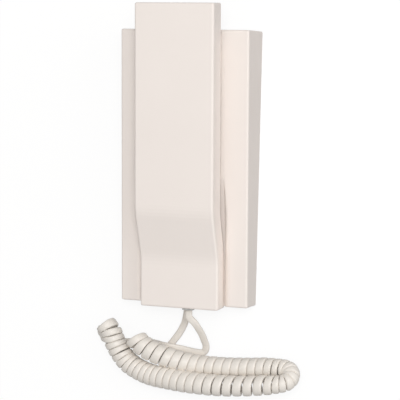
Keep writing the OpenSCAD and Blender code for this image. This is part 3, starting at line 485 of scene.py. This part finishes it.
def bare_metal(name, dark, light, roughness, grain):
    """Metal with a fine grain drawn out along X, and faint spots in its colour."""
    finish = Finish(name)
    drawn = finish.node("ShaderNodeMapping", {}, {"Vector": finish.place(), "Scale": (60.0, 900.0, 900.0)})
    lines = finish.noise(scale=1.0, detail=4.0, where=drawn)
    spots = finish.noise(scale=180.0, detail=3.0)
    return finish.surface(
        Base_Color=finish.tint(spots, dark, light),
        Metallic=1.0,
        Roughness=finish.around(roughness, lines, spread=0.18),
        Normal=finish.bump(lines, strength=grain, distance=0.0003))


def circuit_board():
    """Solder mask over copper tracks, with the weave of the laminate faintly under it."""
    finish = Finish("circuit_board")
    where = finish.place()
    weave = finish.node("ShaderNodeTexChecker", {}, {"Vector": where, "Scale": 1500.0}, output="Fac")
    tracks = finish.node(
        "ShaderNodeTexBrick", {"offset": 0.5},
        {"Vector": where, "Scale": 160.0, "Mortar Size": 0.03, "Brick Width": 0.9, "Row Height": 0.35},
        output="Fac")
    mask = finish.noise(scale=300.0)
    return finish.surface(
        Base_Color=finish.tint(
            weave * 0.15 + tracks * 0.6, dark=(0.010, 0.070, 0.028), light=(0.035, 0.160, 0.070)),
        Roughness=finish.around(0.30, mask, spread=0.1),
        Normal=finish.bump(tracks + weave * 0.1, strength=0.15, distance=0.0002))


def cast_iron():
    """Rough dark casting."""
    finish = Finish("cast_weight")
    coarse = finish.noise(scale=420.0, detail=5.0)
    return finish.surface(
        Base_Color=finish.tint(coarse, dark=(0.035, 0.034, 0.033), light=(0.090, 0.085, 0.080)),
        Metallic=0.8,
        Roughness=finish.around(0.60, coarse, spread=0.3),
        Normal=finish.bump(coarse, strength=0.5, distance=0.0006))


def soft_rubber():
    """Dull black rubber with a fine tooth."""
    finish = Finish("soft_rubber")
    tooth = finish.noise(scale=800.0, detail=3.0)
    return finish.surface(
        Base_Color=finish.tint(tooth, dark=(0.012, 0.012, 0.012), light=(0.028, 0.027, 0.026)),
        Roughness=finish.around(0.725, tooth, spread=0.15),
        Normal=finish.bump(tooth, strength=0.2, distance=0.0004))


# One finish for each material slot of the record
finishes = {
    "housing": moulded_plastic(
        "ivory_housing", dark=(0.884, 0.810, 0.758), light=(0.914, 0.840, 0.788),
        roughness=0.46, grain=0.10, shine=0.3),
    "cord": cord_sheath(),
    "clear_plug": clear_plastic(),
    "black_part": moulded_plastic(
        "black_part_plastic", dark=(0.012, 0.012, 0.013), light=(0.024, 0.024, 0.026),
        roughness=0.48, grain=0.12),
    "terminal": moulded_plastic(
        "terminal_nylon", dark=(0.020, 0.150, 0.060), light=(0.035, 0.210, 0.090),
        roughness=0.40, grain=0.08),
    "board": circuit_board(),
    "steel": bare_metal(
        "zinc_plated_steel", dark=(0.50, 0.51, 0.53), light=(0.66, 0.66, 0.67), roughness=0.32, grain=0.12),
    "can": bare_metal(
        "drawn_aluminium", dark=(0.68, 0.69, 0.70), light=(0.80, 0.80, 0.81), roughness=0.28, grain=0.10),
    "iron": cast_iron(),
    "rubber": soft_rubber(),
}

for part in frame["record"]["subparts"]:
    for slot in frame["nodes"][part["node"]].material_slots:
        slot.material = finishes[part["material_slot"]]
for cord in (handset_lead, curly_cord):
    cord.data.materials.append(finishes["cord"])

# ---- floor, sky and lamps ---------------------------------------------------------------

FLOOR_SIZE = 8.0
FLOOR_BELOW = 0.0002
FLOOR_COLOUR = (0.16, 0.158, 0.156, 1.0)
FLOOR_GLOW = 0.86
SKY_LIGHT = 0.435
LAMP_AIM = Vector((0, -0.02, 0))


def make_floor():
    """The surface that the phone lies on: it takes the shadow, and is near white only where it is seen."""
    bpy.ops.object.select_all(action="DESELECT")
    bpy.ops.mesh.primitive_plane_add(size=FLOOR_SIZE, location=(0, 0, -FLOOR_BELOW))
    floor = bpy.context.object
    floor.name = "floor"
    finish = Finish("floor_paper")
    paper = finish.node("ShaderNodeBsdfDiffuse", {}, {"Color": FLOOR_COLOUR})
    glow = finish.node("ShaderNodeEmission", {}, {"Color": WHITE, "Strength": finish.seen() * FLOOR_GLOW})
    both = finish.node("ShaderNodeAddShader", {}, {0: paper, 1: glow})
    finish.node("ShaderNodeOutputMaterial", {}, {"Surface": both})
    floor.data.materials.append(finish.material)


def make_sky():
    """A plain sky: white where it is seen, and SKY_LIGHT of that on the phone."""
    world = bpy.data.worlds.new("sky")
    sky = Nodes(world)
    light = sky.seen() * (1 - SKY_LIGHT) + SKY_LIGHT
    white = sky.node("ShaderNodeBackground", {}, {"Color": WHITE, "Strength": light})
    sky.node("ShaderNodeOutputWorld", {}, {"Surface": white})
    bpy.context.scene.world = world


def area_lamp(name, place, size, power):
    """A square lamp of watts, turned to the middle of the phone."""
    data = bpy.data.lights.new(name, "AREA")
    data.shape = "SQUARE"
    data.size = size
    data.energy = power
    lamp = bpy.data.objects.new(name, data)
    bpy.context.scene.collection.objects.link(lamp)
    lamp.location = place
    lamp.rotation_euler = (LAMP_AIM - Vector(place)).to_track_quat("-Z", "Y").to_euler()


make_floor()
make_sky()
area_lamp("key", place=(0.64, 0.36, 1.80), size=0.8, power=17.4)
area_lamp("side", place=(1.80, 0.45, 0.75), size=1.5, power=10.9)

bpy.context.scene.view_settings.view_transform = "Standard"
